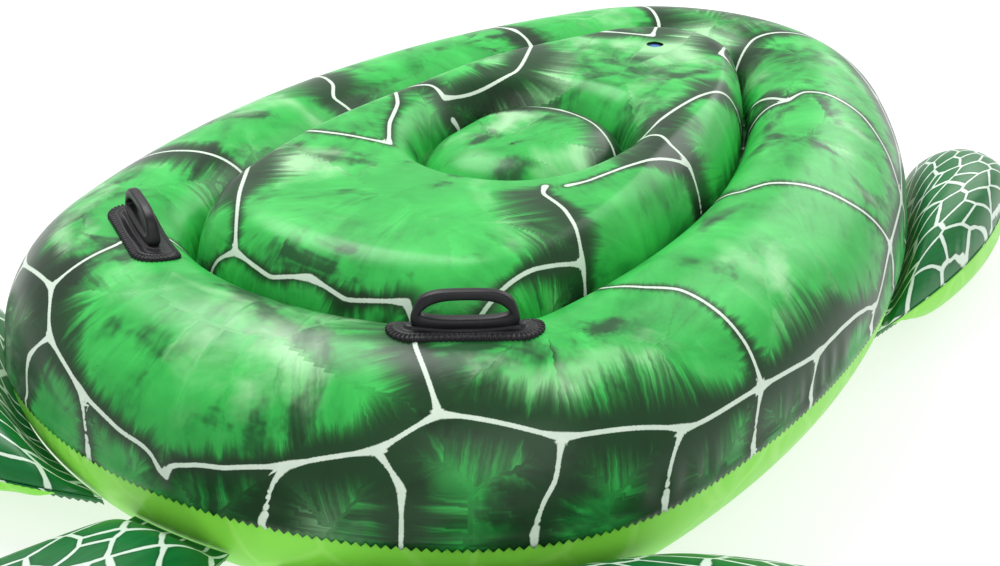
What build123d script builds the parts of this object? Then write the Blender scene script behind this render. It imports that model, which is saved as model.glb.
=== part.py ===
"""Inflatable turtle-shaped pool float, built sheet by sheet.

The float is laid out about the shell's weld plane: +Z up, the head towards -Y and the turtle's left
side towards +X. Every piece is placed in the end so that the float's bounding box stands centred on
the origin, with the belly's flat face on the plane z = 0. All lengths are in millimetres.
"""

from build123d import *
from math import asin, atan2, cos, degrees, exp, pi, radians, sin
import os

# ---- Shell outline, at the weld plane ----
SHELL_LENGTH = 1344.0
SHELL_WIDTH = 897.0
FRONT_RADIUS = 555.0
FRONT_HALF_ANGLE = 28.0
SHOULDER_RADIUS = 308.0
SIDE_RADIUS = 1235.0

# ---- Shell section, heights measured from the weld plane ----
SHEET = 2.0
SEAM_FLANGE = 8.0
TUBE_CREST = 134.0
TUBE_GROOVE_TOP = 65.0
DECK_CREST = 145.0
DECK_ROUND = 50.0
BELLY_DEPTH = 126.0
TUBE_GROOVE_BOTTOM = -69.0
WELD_LAND = 14.0

# ---- Oval island in the deck ----
ISLAND_CENTRE_FROM_FRONT = 655.0
ISLAND_STRAIGHT = 56.0
ISLAND_RADIUS = 110.0
ISLAND_ROUND = 30.0
ISLAND_GROOVE_TOP = 85.0
ISLAND_GROOVE_BOTTOM = -80.0

# ---- Inner weld bands ----
BAND = 1.5
BAND_FLANGE = 10.0
PORT_RADIUS = 8.0
PORT_COUNT = 3

# ---- Flippers and head ----
LIVING_HINGE_GAP = 0.25
LIMB_WELD_DEPTH = 60.0
ROOT_WEB = 60.0
WELD_GAP = 0.45
FAIRING = 0.02
FRONT_FLIPPER_ROOT = (0.062, 0.245)
REAR_FLIPPER_ROOT = (0.57, 0.77)
HEAD_ROOT = 0.033
FRONT_FLIPPER_REACH = 850.0
FRONT_FLIPPER_RISE = 64.0
FRONT_FLIPPER_LIFT = 5.0
REAR_FLIPPER_REACH = 452.0
REAR_FLIPPER_RISE = 66.0
REAR_FLIPPER_LIFT = 4.0
HEAD_LENGTH = 520.0
HEAD_RISE = 78.0
HEAD_LIFT = 7.0
LOWER_SHARE = 0.75

# ---- Carrying handles ----
HANDLE_TURN = 34.0
HANDLE_SIDE = 200.0
HANDLE_INWARD = 22.0
FLANGE_LENGTH = 150.0
FLANGE_WIDTH = 52.0
FLANGE_STAND = 4.0
GRIP_FOOT_LENGTH = 112.0
GRIP_TOP_LENGTH = 84.0
GRIP_HEIGHT = 35.0
GRIP_DEPTH = 12.0
GRIP_BAR = 10.0
GRIP_FOOT_RADIUS = 5.5
GRIP_CLEARANCE = 0.4

# ---- Air valves ----
DECK_VALVE_FROM_REAR = 348.0
TUBE_VALVE_FROM_FRONT = 735.0
TUBE_VALVE_ANGLE = 35.0
VALVE_FLANGE_RADIUS = 22.0
VALVE_FLANGE_STAND = 1.5
SLEEVE_RADIUS = 11.0
SLEEVE_WALL = 1.6
SLEEVE_DEPTH = 14.0
STEM_BORE = 4.6
STEM_CLEARANCE = 0.25
RIM_THICKNESS = 1.2
PLUG_CLEARANCE = 0.2
PLUG_CAP_RADIUS = 7.5
PLUG_CAP_THICKNESS = 1.8
FLAP_THICKNESS = 0.8
TETHER_WIDTH = 2.4
TETHER_THICKNESS = 1.0

UP = Vector(0, 0, 1)


class Run:
    """One tangent piece of a plan outline, walked anticlockwise with its inside on the left."""

    def __init__(self, start, heading, amount, radius=None):
        """Keep the start, the heading in degrees, and the length or the turn in degrees."""
        self.start, self.heading, self.amount, self.radius = start, heading, amount, radius
        self.tangent = Vector(cos(radians(heading)), sin(radians(heading)), 0)
        self.inward = UP.cross(self.tangent)
        self.centre = None if radius is None else start + self.inward * radius

    def point(self, share, inset=0.0):
        """The point at a share of the run, moved inwards by inset, and the inward direction there."""
        if self.radius is None:
            return self.start + self.tangent * (self.amount * share) + self.inward * inset, self.inward
        turned = self.inward.rotate(Axis.Z, self.amount * share)
        return self.centre - turned * (self.radius - inset), turned

    def solid(self, section):
        """Carry a section, drawn as (inset, height), along the run."""
        placed = Plane(self.start, x_dir=self.inward, z_dir=self.inward.cross(UP)) * section
        if self.radius is None:
            return extrude(placed, amount=self.amount, dir=self.tangent)
        return revolve(placed, axis=Axis(self.centre, UP), revolution_arc=self.amount)

    def edge(self, inset):
        """The run's own line, moved inwards."""
        ends = [self.point(share, inset)[0] for share in (0, 0.5, 1)]
        return Line(ends[0], ends[2]) if self.radius is None else ThreePointArc(*ends)


def shell_runs():
    """The left half of the shell's outline, from the middle of the front to the middle of the rear."""
    front, rear = -SHELL_LENGTH / 2, SHELL_LENGTH / 2
    lead = radians(FRONT_HALF_ANGLE)
    shoulder_x = (FRONT_RADIUS - SHOULDER_RADIUS) * sin(lead)
    shoulder_y = front + FRONT_RADIUS - (FRONT_RADIUS - SHOULDER_RADIUS) * cos(lead)
    side_centre_x = SHELL_WIDTH / 2 - SIDE_RADIUS
    to_side = asin((shoulder_x - side_centre_x) / (SIDE_RADIUS - SHOULDER_RADIUS))
    side_centre_y = shoulder_y + (SIDE_RADIUS - SHOULDER_RADIUS) * cos(to_side)
    depth = rear - side_centre_y
    rear_radius = (side_centre_x**2 + depth**2 - SIDE_RADIUS**2) / (2 * (depth - SIDE_RADIUS))
    to_rear = atan2(-side_centre_x, side_centre_y - (rear - rear_radius))
    turns = [lead, to_side - lead, to_rear - to_side, pi - to_rear]
    runs, start, heading = [], Vector(0, front, 0), 0.0
    for turn, radius in zip(turns, (FRONT_RADIUS, SHOULDER_RADIUS, SIDE_RADIUS, rear_radius)):
        run = Run(start, heading, degrees(turn), radius)
        runs.append(run)
        start, heading = run.point(1)[0], heading + degrees(turn)
    return runs


def island_runs():
    """The whole outline of the island's groove: two straight sides and two round ends."""
    middle_y = ISLAND_CENTRE_FROM_FRONT - SHELL_LENGTH / 2
    half = ISLAND_STRAIGHT / 2
    right, left = Vector(-ISLAND_RADIUS, middle_y, 0), Vector(ISLAND_RADIUS, middle_y, 0)
    lengthwise = Vector(0, half, 0)
    return [
        Run(left - lengthwise, 90, ISLAND_STRAIGHT),
        Run(left + lengthwise, 90, 180, ISLAND_RADIUS),
        Run(right + lengthwise, 270, ISLAND_STRAIGHT),
        Run(right - lengthwise, 270, 180, ISLAND_RADIUS),
    ]


OUTLINE = shell_runs()
ISLAND = island_runs()


def join(pieces):
    """Fuse solids into one."""
    first, *rest = pieces
    return first.fuse(*rest).clean() if rest else first


def mirrored(piece):
    """The same piece on the turtle's right side."""
    return mirror(piece, about=Plane.YZ)


def shell_ring(section):
    """Carry a section round the whole shell."""
    half = join([run.solid(section) for run in OUTLINE])
    return join([half, mirrored(half)])


def island_ring(section):
    """Carry a section round the island."""
    return join([run.solid(section) for run in ISLAND])


def plan_face(runs, inset, whole):
    """The flat face inside a plan outline moved inwards; a half outline is closed by its mirror."""
    edges = [run.edge(inset) for run in runs]
    return make_face(edges if whole else edges + [mirrored(edge) for edge in edges])


def slab(runs, inset, whole, low, high):
    """A flat plate between two heights."""
    return extrude(Pos(0, 0, low) * plan_face(runs, inset, whole), amount=high - low)


def inner_radius(crest, groove):
    """The radius of the tube's inner shoulder, from its crest down to the groove."""
    return crest - groove


GROOVE_INSET = max(
    TUBE_CREST - SHEET + inner_radius(TUBE_CREST, TUBE_GROOVE_TOP),
    BELLY_DEPTH - SHEET + inner_radius(BELLY_DEPTH, -TUBE_GROOVE_BOTTOM),
)
DECK_INSET = GROOVE_INSET + WELD_LAND + DECK_ROUND
LAND_MIDDLE = GROOVE_INSET + WELD_LAND / 2


def shell_line(crest, groove, middle, wall):
    """One sheet's line from the weld to the flat middle, at a depth of wall inside its outer face."""
    shoulder = inner_radius(crest, groove)
    strip_start, strip_end = crest - SHEET, GROOVE_INSET - shoulder
    land_end = GROOVE_INSET + WELD_LAND
    corner = middle - DECK_ROUND
    floor = groove - wall
    lines = [Line((-SEAM_FLANGE, SHEET - wall), (wall, SHEET - wall))]
    if wall:
        lines.append(Line((wall, 0), (wall, SHEET)))
    lines.append(CenterArc((strip_start, SHEET), crest - SHEET - wall, 180, -90))
    if strip_end - strip_start > 0.01:
        lines.append(Line((strip_start, crest - wall), (strip_end, crest - wall)))
    lines.append(CenterArc((strip_end, groove), shoulder - wall, 0, 90))
    if wall:
        lines.append(Line((GROOVE_INSET - wall, groove), (GROOVE_INSET - wall, floor)))
    lines.append(Line((GROOVE_INSET - wall, floor), (land_end + wall, floor)))
    lines.append(Line((land_end + wall, floor), (land_end + wall, corner)))
    lines.append(CenterArc((land_end + DECK_ROUND, corner), DECK_ROUND - wall, 90, 90))
    return lines


def shell_section(crest, groove, middle):
    """The closed section of one sheet, from its weld flange to the flat middle."""
    caps = [
        Line((-SEAM_FLANGE, 0), (-SEAM_FLANGE, SHEET)),
        Line((DECK_INSET, middle - SHEET), (DECK_INSET, middle)),
    ]
    return make_face(shell_line(crest, groove, middle, 0) + shell_line(crest, groove, middle, SHEET) + caps)


def shell_fill(crest, groove, middle):
    """The section of all the room under a sheet's outer face."""
    floor = [
        Line((-SEAM_FLANGE, 0), (-SEAM_FLANGE, SHEET)),
        Line((-SEAM_FLANGE, 0), (DECK_INSET, 0)),
        Line((DECK_INSET, 0), (DECK_INSET, middle)),
    ]
    return make_face(shell_line(crest, groove, middle, 0) + floor)


def island_section(groove, middle):
    """The closed section of the groove round the island, as wide inwards as outwards."""
    land, reach = WELD_LAND / 2, WELD_LAND / 2 + ISLAND_ROUND
    corner = middle - ISLAND_ROUND
    lines = [Line((-land - SHEET, groove - SHEET), (land + SHEET, groove - SHEET)), Line((-land, groove), (land, groove))]
    for side, turn in ((-1, 0), (1, 90)):
        for wall in (0, SHEET):
            across = side * (land + wall)
            lines.append(Line((across, groove - wall), (across, corner)))
            lines.append(CenterArc((side * reach, corner), ISLAND_ROUND - wall, turn, 90))
        lines.append(Line((side * reach, middle - SHEET), (side * reach, middle)))
    return make_face(lines)


def shell_sheet(crest, groove, middle, island_groove):
    """One whole sheet of the shell, built as if it were the upper one."""
    reach = WELD_LAND / 2 + ISLAND_ROUND
    ring = shell_ring(shell_section(crest, groove, middle))
    deck = slab(OUTLINE, DECK_INSET, False, middle - SHEET, middle)
    deck -= slab(ISLAND, -reach, True, middle - 2 * SHEET, middle + SHEET)
    top = slab(ISLAND, reach, True, middle - SHEET, middle)
    return join([ring, deck, island_ring(island_section(island_groove, middle)), top])


def weld_band(low, high, middle):
    """The section of an inner band: a web with a weld flange at each sheet."""
    low, high = low + SHEET, high - SHEET
    half, web = BAND_FLANGE / 2, BAND / 2
    right = [
        (half, low), (half, low + BAND), (web, low + BAND),
        (web, high - BAND), (half, high - BAND), (half, high),
    ]
    left = [(-across, height) for across, height in reversed(right)]
    return Pos(middle, 0) * make_face(Polyline(*right, *left, close=True))


def outer_weld_band():
    """The airtight wall that divides the outer tube from the middle."""
    return shell_ring(weld_band(TUBE_GROOVE_BOTTOM, TUBE_GROOVE_TOP, LAND_MIDDLE))


def inner_weld_band():
    """The wall round the island, with ports that let the air through."""
    band = island_ring(weld_band(ISLAND_GROOVE_BOTTOM, ISLAND_GROOVE_TOP, 0))
    centre = ISLAND_CENTRE_FROM_FRONT - SHELL_LENGTH / 2
    spacing = ISLAND_STRAIGHT / PORT_COUNT
    for place in range(PORT_COUNT):
        along = centre + (place - (PORT_COUNT - 1) / 2) * spacing
        band -= Pos(0, along, 0) * Rot(0, 90, 0) * Cylinder(PORT_RADIUS, 4 * ISLAND_RADIUS)
    return band


def outline_point(share, inset):
    """A point and inward direction at a share (0 front, 1 rear) of the left outline's length."""
    lengths = [run.radius * radians(run.amount) for run in OUTLINE]
    left = share * sum(lengths)
    for run, length in zip(OUTLINE, lengths):
        if left <= length or run is OUTLINE[-1]:
            return run.point(min(left / length, 1), inset)
        left -= length


def wall_inset(depth):
    """How far the lower sheet's wall lies inside the weld at a depth below it."""
    radius = BELLY_DEPTH - SHEET
    return radius - (radius**2 - (depth - SHEET) ** 2) ** 0.5


ROOT_INSET = wall_inset(LIMB_WELD_DEPTH - 2 * SHEET - WELD_GAP)


def wall_points(count):
    """Points all round the wall, level with the top of the limbs' roots."""
    left = [outline_point(place / count, ROOT_INSET)[0] for place in range(count + 1)]
    return left + [Vector(-point.X, point.Y) for point in left]


WALL = wall_points(120)


def bezier(points, share):
    """A point on the cubic curve with four control points."""
    rest = 1 - share
    weights = (rest**3, 3 * rest**2 * share, 3 * rest * share**2, share**3)
    return sum((point * weight for point, weight in zip(points, weights)), Vector(0, 0, 0))


class Limb:
    """A pillow of two sheets welded all round: a flipper or the head."""

    GRID = 13

    def __init__(self, root, lead, trail, tip, rise):
        """Keep the two side curves, the root's shares of the outline, the tip and the height."""
        self.lead, self.trail, self.rise, self.tip = lead, trail, rise, tip
        self.root = root

    def root_point(self, across):
        """A point on the root, along the shell's weld flange."""
        low, high = self.root
        point, inward = self.along_outline(low + (high - low) * across)
        return point + inward * (ROOT_INSET - LIVING_HINGE_GAP)

    @staticmethod
    def along_outline(share):
        """A point on the outline, where a negative share is on the turtle's right."""
        point, inward = outline_point(abs(share), 0)
        if share < 0:
            point, inward = Vector(-point.X, point.Y, 0), Vector(-inward.X, inward.Y, 0)
        return point, inward

    def plan(self, out, across):
        """A point of the pillow's plan, blended between its four edges."""
        sides = bezier(self.lead, out) * (1 - across) + bezier(self.trail, out) * across
        ends = self.root_point(across) * (1 - out) + bezier(self.tip, across) * out
        corners = (self.lead[0] * (1 - across) + self.trail[0] * across) * (1 - out)
        corners += (self.lead[3] * (1 - across) + self.trail[3] * across) * out
        return sides + ends - corners

    def height(self, out, across):
        """How far the sheet stands off the weld plane: it swells only clear of the shell's wall."""
        flat = self.plan(out, across)
        clear = min((flat - point).length for point in WALL)
        swell = 1 - exp(-((clear / ROOT_WEB) ** 2))
        return self.rise * sin(pi * out**0.75) ** 0.8 * sin(pi * across) * swell

    def upper(self, share):
        """The upper sheet, or with a smaller share the lower one before it is turned over."""
        steps = [place / (self.GRID - 1) for place in range(self.GRID)]
        grid = []
        for step in steps:
            row, out = [], step**1.3
            for across in steps:
                flat = self.plan(out, across)
                row.append((flat.X, flat.Y, SHEET + WELD_GAP + self.height(out, across) * share))
            grid.append(row)
        skin = Face.make_surface_from_array_of_points(grid, tol=FAIRING)
        if skin.normal_at().Z < 0:
            skin = -skin
        return Solid.thicken(skin, -SHEET)

    def sheets(self):
        """The upper and the lower sheet."""
        return self.upper(1), mirror(self.upper(LOWER_SHARE), about=Plane.XY)


def limb(root, lead, trail, tip, rise):
    """A pillow whose side curves start at the two ends of its root."""
    made = Limb(root, [], [], tip, rise)
    made.lead = [made.root_point(0), *lead, tip[0]]
    made.trail = [made.root_point(1), *trail, tip[3]]
    return made


def front_flipper():
    """The left front flipper, swept back to a narrow tip."""
    front = -SHELL_LENGTH / 2
    tip_x = FRONT_FLIPPER_REACH
    tip = [
        Vector(tip_x - 6, front + 165), Vector(tip_x + 5, front + 195),
        Vector(tip_x - 5, front + 240), Vector(tip_x - 32, front + 255),
    ]
    lead = [Vector(tip_x - 520, front - 70), Vector(tip_x - 130, front - 90)]
    trail = [Vector(tip_x - 340, front + 285), Vector(tip_x - 150, front + 310)]
    return limb(FRONT_FLIPPER_ROOT, lead, trail, tip, FRONT_FLIPPER_RISE)


def rear_flipper():
    """The left rear flipper, a short paddle that points backwards."""
    rear = SHELL_LENGTH / 2
    tip_x = REAR_FLIPPER_REACH
    tip = [
        Vector(tip_x - 10, rear - 165), Vector(tip_x - 5, rear - 120),
        Vector(tip_x - 35, rear - 85), Vector(tip_x - 75, rear - 78),
    ]
    lead = [Vector(tip_x + 5, rear - 430), Vector(tip_x + 22, rear - 290)]
    trail = [Vector(tip_x - 150, rear - 130), Vector(tip_x - 130, rear - 85)]
    return limb(REAR_FLIPPER_ROOT, lead, trail, tip, REAR_FLIPPER_RISE)


def head():
    """The head and neck, narrow behind the cheeks and round at the beak."""
    front = -SHELL_LENGTH / 2
    nose = front - HEAD_LENGTH
    tip = [Vector(60, nose + 22), Vector(30, nose - 7), Vector(-30, nose - 7), Vector(-60, nose + 22)]
    lead = [Vector(62, front - 130), Vector(215, front - 370)]
    trail = [Vector(-point.X, point.Y) for point in lead]
    return limb((HEAD_ROOT, -HEAD_ROOT), lead, trail, tip, HEAD_RISE)


def hinge_line(root, angle):
    """The weld that a limb flexes at: its outermost point, its direction and the limb's set angle."""
    middle = (root[0] + root[1]) / 2
    point, inward = Limb.along_outline(middle)
    start = point + inward * (ROOT_INSET - LIVING_HINGE_GAP) - UP * LIMB_WELD_DEPTH
    return start, UP.cross(inward), angle


def set_at(pieces, hinge):
    """Lower pieces to their weld and turn them about it; a positive angle lifts the free end."""
    start, direction, angle = hinge
    return [(Pos(0, 0, -LIMB_WELD_DEPTH) * piece).rotate(Axis(start, direction), angle) for piece in pieces]


def handle_place():
    """The left handle's seat: just inside the tube's crest, turned with it."""
    inset = TUBE_CREST - SHEET + HANDLE_INWARD
    best = min((place / 800 for place in range(400)), key=lambda s: abs(outline_point(s, inset)[0].X - HANDLE_SIDE))
    point, _ = outline_point(best, inset)
    shoulder = inner_radius(TUBE_CREST, TUBE_GROOVE_TOP)
    height = TUBE_GROOVE_TOP + (shoulder**2 - HANDLE_INWARD**2) ** 0.5
    return Location((point.X, point.Y, height), (0, 0, HANDLE_TURN))


def handle(fill):
    """The left handle's welded flange and its grip."""
    place = handle_place()
    sunk = 6 * FLANGE_STAND
    pad = extrude(SlotOverall(FLANGE_LENGTH, FLANGE_WIDTH), amount=FLANGE_STAND + sunk)
    flange = place * Pos(0, 0, -sunk) * pad - fill
    axis_height = FLANGE_STAND + GRIP_CLEARANCE + GRIP_FOOT_RADIUS
    foot = Rot(0, 90, 0) * Cylinder(GRIP_FOOT_RADIUS, GRIP_FOOT_LENGTH)
    outer = Polyline(
        (-GRIP_FOOT_LENGTH / 2, 0), (GRIP_FOOT_LENGTH / 2, 0),
        (GRIP_TOP_LENGTH / 2, GRIP_HEIGHT), (-GRIP_TOP_LENGTH / 2, GRIP_HEIGHT), close=True,
    )
    arch = fillet(make_face(outer).vertices().group_by(Axis.Y)[-1], GRIP_BAR)
    slope = (GRIP_FOOT_LENGTH - GRIP_TOP_LENGTH) / 2 / GRIP_HEIGHT
    low, high = GRIP_BAR * 0.8, GRIP_HEIGHT - GRIP_BAR
    wide, narrow = (GRIP_FOOT_LENGTH / 2 - GRIP_BAR - slope * height for height in (low, high))
    gap = Polyline((-wide, low), (wide, low), (narrow, high), (-narrow, high), close=True)
    window = make_face(gap)
    window = fillet(window.vertices(), GRIP_BAR / 2)
    plate = extrude(Plane.XZ * (arch - window), amount=GRIP_DEPTH / 2, both=True)
    grip = place * Pos(0, 0, axis_height) * join([foot, plate])
    return flange, grip, (place * Pos(0, 0, axis_height)).position


def deck_valve_place():
    """On the deck behind the island, facing up."""
    return Plane((0, SHELL_LENGTH / 2 - DECK_VALVE_FROM_REAR, DECK_CREST), x_dir=(1, 0, 0), z_dir=(0, 0, 1))


def tube_valve_place():
    """On the outer tube's right side, square to its wall."""
    wanted = TUBE_VALVE_FROM_FRONT - SHELL_LENGTH / 2
    radius = TUBE_CREST - SHEET
    best = min((place / 400 for place in range(400)), key=lambda s: abs(outline_point(s, 0)[0].Y - wanted))
    point, inward = outline_point(best, radius)
    lift = radians(TUBE_VALVE_ANGLE)
    out = Vector(inward.X, -inward.Y, 0) * cos(lift) + UP * sin(lift)
    middle = Vector(-point.X, point.Y, SHEET)
    return Plane(middle + out * radius, x_dir=UP.cross(out), z_dir=out)


def disc(radius, low, high):
    """A round plate between two heights."""
    return Pos(0, 0, low) * extrude(Circle(radius), amount=high - low)


def ring(outer, inner, low, high):
    """A round wall between two heights."""
    return Pos(0, 0, low) * extrude(Circle(outer) - Circle(inner), amount=high - low)


def valve(place, fill):
    """The welded base, the stem that rises in it, the plug, its tether and the check flap."""
    bore = SLEEVE_RADIUS - SLEEVE_WALL
    stem_radius = bore - STEM_CLEARANCE
    seat = VALVE_FLANGE_STAND + STEM_CLEARANCE
    stem_foot = -SLEEVE_DEPTH + 2 * FLAP_THICKNESS
    rim_top = seat + RIM_THICKNESS
    sunk = 3 * VALVE_FLANGE_STAND
    skirt = place * ring(VALVE_FLANGE_RADIUS, bore, -sunk, VALVE_FLANGE_STAND) - fill
    sleeve = place * ring(SLEEVE_RADIUS, bore, -SLEEVE_DEPTH, VALVE_FLANGE_STAND)
    base = join([skirt, sleeve])
    stem = join([ring(stem_radius, STEM_BORE, stem_foot, rim_top), ring(SLEEVE_RADIUS, STEM_BORE, seat, rim_top)])
    cap_low = rim_top + PLUG_CLEARANCE
    plug = join([
        disc(STEM_BORE - PLUG_CLEARANCE, stem_foot / 2, cap_low),
        disc(PLUG_CAP_RADIUS, cap_low, cap_low + PLUG_CAP_THICKNESS),
    ])
    flap_top = stem_foot - PLUG_CLEARANCE
    flap = disc(stem_radius - 2 * SLEEVE_WALL, flap_top - FLAP_THICKNESS, flap_top)
    inner, outer = PLUG_CAP_RADIUS + PLUG_CLEARANCE, SLEEVE_RADIUS - PLUG_CLEARANCE
    strap = Pos(0, 0, cap_low) * extrude(Circle(outer) - Circle(inner), amount=TETHER_THICKNESS)
    strap &= Pos(outer / 2 + inner / 2, 0, cap_low) * Box(outer, TETHER_WIDTH * 3, 4 * TETHER_THICKNESS)
    made = {"base": base, "stem": place * stem, "plug": place * plug}
    made["check_flap"] = place * flap
    made["plug_tether"] = place * strap
    hinge = place.from_local_coords(Vector(-(stem_radius - 2 * SLEEVE_WALL), 0, flap_top))
    return made, hinge


def valve_hole(place):
    """The round hole that a valve's sleeve goes through."""
    return place * disc(SLEEVE_RADIUS + PLUG_CLEARANCE, -SLEEVE_DEPTH, SLEEVE_DEPTH)


def build():
    """All the pieces by name, and the points that the joints turn about."""
    pieces, points = {}, {}
    deck_valve, tube_valve = deck_valve_place(), tube_valve_place()
    upper = shell_sheet(TUBE_CREST, TUBE_GROOVE_TOP, DECK_CREST, ISLAND_GROOVE_TOP)
    fill = join([
        shell_ring(shell_fill(TUBE_CREST, TUBE_GROOVE_TOP, DECK_CREST)),
        slab(OUTLINE, DECK_INSET, False, 0, DECK_CREST),
    ])
    lower = shell_sheet(BELLY_DEPTH, -TUBE_GROOVE_BOTTOM, BELLY_DEPTH, -ISLAND_GROOVE_BOTTOM)
    pieces["shell_top_sheet"] = upper - valve_hole(deck_valve) - valve_hole(tube_valve)
    pieces["shell_bottom_sheet"] = mirror(lower, about=Plane.XY)
    pieces["outer_weld_band"] = outer_weld_band()
    pieces["inner_weld_band"] = inner_weld_band()
    limbs = {
        "front_flipper": (front_flipper(), FRONT_FLIPPER_LIFT),
        "rear_flipper": (rear_flipper(), REAR_FLIPPER_LIFT),
    }
    for name, (made, angle) in limbs.items():
        hinge = hinge_line(made.root, angle)
        for part, piece in zip(("top", "bottom"), set_at(made.sheets(), hinge)):
            pieces[f"left_{name}_{part}"] = piece
            pieces[f"right_{name}_{part}"] = mirrored(piece)
        points[f"left_{name}"] = hinge
    neck = head()
    hinge = hinge_line(neck.root, HEAD_LIFT)
    pieces["head_top"], pieces["head_bottom"] = set_at(neck.sheets(), hinge)
    points["head"] = hinge
    flange, grip, axis = handle(fill)
    for side, change in (("left", lambda piece: piece), ("right", mirrored)):
        pieces[f"{side}_handle_flange"] = change(flange)
        pieces[f"{side}_handle_grip"] = change(grip)
    points["left_handle_grip"] = (axis, Vector(cos(radians(HANDLE_TURN)), sin(radians(HANDLE_TURN)), 0), 0)
    for name, place in (("deck_valve", deck_valve), ("tube_valve", tube_valve)):
        made, flap_hinge = valve(place, fill)
        for part, piece in made.items():
            pieces[f"{name}_{part}"] = piece
        points[name] = (flap_hinge, place.z_dir, place.y_dir)
    return pieces, points


def write(pieces, points):
    """Centre the float over the origin, write each piece, and print where the joints are."""
    boxes = [piece.bounding_box() for piece in pieces.values()]
    low = [min(getattr(box.min, axis) for box in boxes) for axis in "XYZ"]
    high = [max(getattr(box.max, axis) for box in boxes) for axis in "XYZ"]
    shift = Pos(-(low[0] + high[0]) / 2, -(low[1] + high[1]) / 2, -low[2])
    os.makedirs("parts", exist_ok=True)
    for name, piece in pieces.items():
        export_step(shift * piece, f"parts/{name}.step")
    print("size", [round(top - bottom, 1) for bottom, top in zip(low, high)], "shift", shift.position)
    for name, (point, *rest) in points.items():
        print(name, point + shift.position, rest)


write(*build())
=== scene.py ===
"""Inflatable turtle pool float: the visual model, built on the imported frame.

The turtle's head points towards -Y and its left side towards +X. All lengths are in metres.
"""

import logging
import math
from dataclasses import dataclass, field
from enum import Enum

import bmesh
import bpy
import numpy as np
from mathutils import Matrix, Vector
from mathutils.bvhtree import BVHTree
from mathutils.kdtree import KDTree


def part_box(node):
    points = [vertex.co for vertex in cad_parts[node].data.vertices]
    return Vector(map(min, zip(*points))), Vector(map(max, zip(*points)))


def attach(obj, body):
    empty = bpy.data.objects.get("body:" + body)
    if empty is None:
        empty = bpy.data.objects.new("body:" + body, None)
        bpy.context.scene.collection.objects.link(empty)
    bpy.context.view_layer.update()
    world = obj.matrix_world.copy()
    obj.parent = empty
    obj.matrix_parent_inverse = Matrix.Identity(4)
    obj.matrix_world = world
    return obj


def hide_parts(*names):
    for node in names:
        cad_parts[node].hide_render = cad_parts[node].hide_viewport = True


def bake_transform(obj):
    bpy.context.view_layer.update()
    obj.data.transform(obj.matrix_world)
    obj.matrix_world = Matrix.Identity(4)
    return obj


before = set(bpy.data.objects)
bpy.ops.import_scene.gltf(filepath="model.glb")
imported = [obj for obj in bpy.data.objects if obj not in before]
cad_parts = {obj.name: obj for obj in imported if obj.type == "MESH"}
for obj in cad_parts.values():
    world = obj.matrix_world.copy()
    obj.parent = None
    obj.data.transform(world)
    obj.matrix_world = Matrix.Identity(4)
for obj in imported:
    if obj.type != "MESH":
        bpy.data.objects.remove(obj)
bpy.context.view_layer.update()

log = logging.getLogger("float")

SEAM_HEIGHT = 0.126
CENTRE_SHIFT = 0.254
SHELL_SHEET = 0.0007
LIMB_SHEET = 0.0006
LINE_CORE = 0.0048


# ---------------------------------------------------------------- shader maths


class Term:
    """A shader socket that takes part in Python expressions."""

    def __init__(self, net: "Net", socket: bpy.types.NodeSocket) -> None:
        """Keep the socket and the network that it belongs to."""
        self.net, self.socket = net, socket

    def _math(self, operation: str, *values: object) -> "Term":
        """Add one Math node.

        Args:
            operation: The node's operation.
            values: Its inputs, in order.

        Returns:
            The node's result.
        """
        return self.net.node("ShaderNodeMath", {"operation": operation}, dict(enumerate(values)))

    def __add__(self, other: object) -> "Term":
        """Add a term or a number."""
        return self._math("ADD", self, other)

    __radd__ = __add__

    def __sub__(self, other: object) -> "Term":
        """Subtract a term or a number."""
        return self._math("SUBTRACT", self, other)

    def __rsub__(self, other: object) -> "Term":
        """Subtract this from a number."""
        return self._math("SUBTRACT", other, self)

    def __mul__(self, other: object) -> "Term":
        """Multiply by a term or a number."""
        return self._math("MULTIPLY", self, other)

    __rmul__ = __mul__

    def __truediv__(self, other: object) -> "Term":
        """Divide by a term or a number."""
        return self._math("DIVIDE", self, other)

    def __pow__(self, other: object) -> "Term":
        """Raise to a power."""
        return self._math("POWER", self, other)

    def most(self, other: object) -> "Term":
        """The larger of this and another."""
        return self._math("MAXIMUM", self, other)

    def step(self, low: float, high: float, top: float = 1.0) -> "Term":
        """Rise smoothly between two values.

        Args:
            low: Where the result starts to leave 0.
            high: Where the result reaches top.
            top: The result's largest value.

        Returns:
            The smoothed term.
        """
        return self.net.node(
            "ShaderNodeMapRange",
            {"interpolation_type": "SMOOTHSTEP"},
            {"Value": self, "From Min": low, "From Max": high, "To Min": 0.0, "To Max": top},
        )


Colour = tuple[float, float, float]


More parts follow.
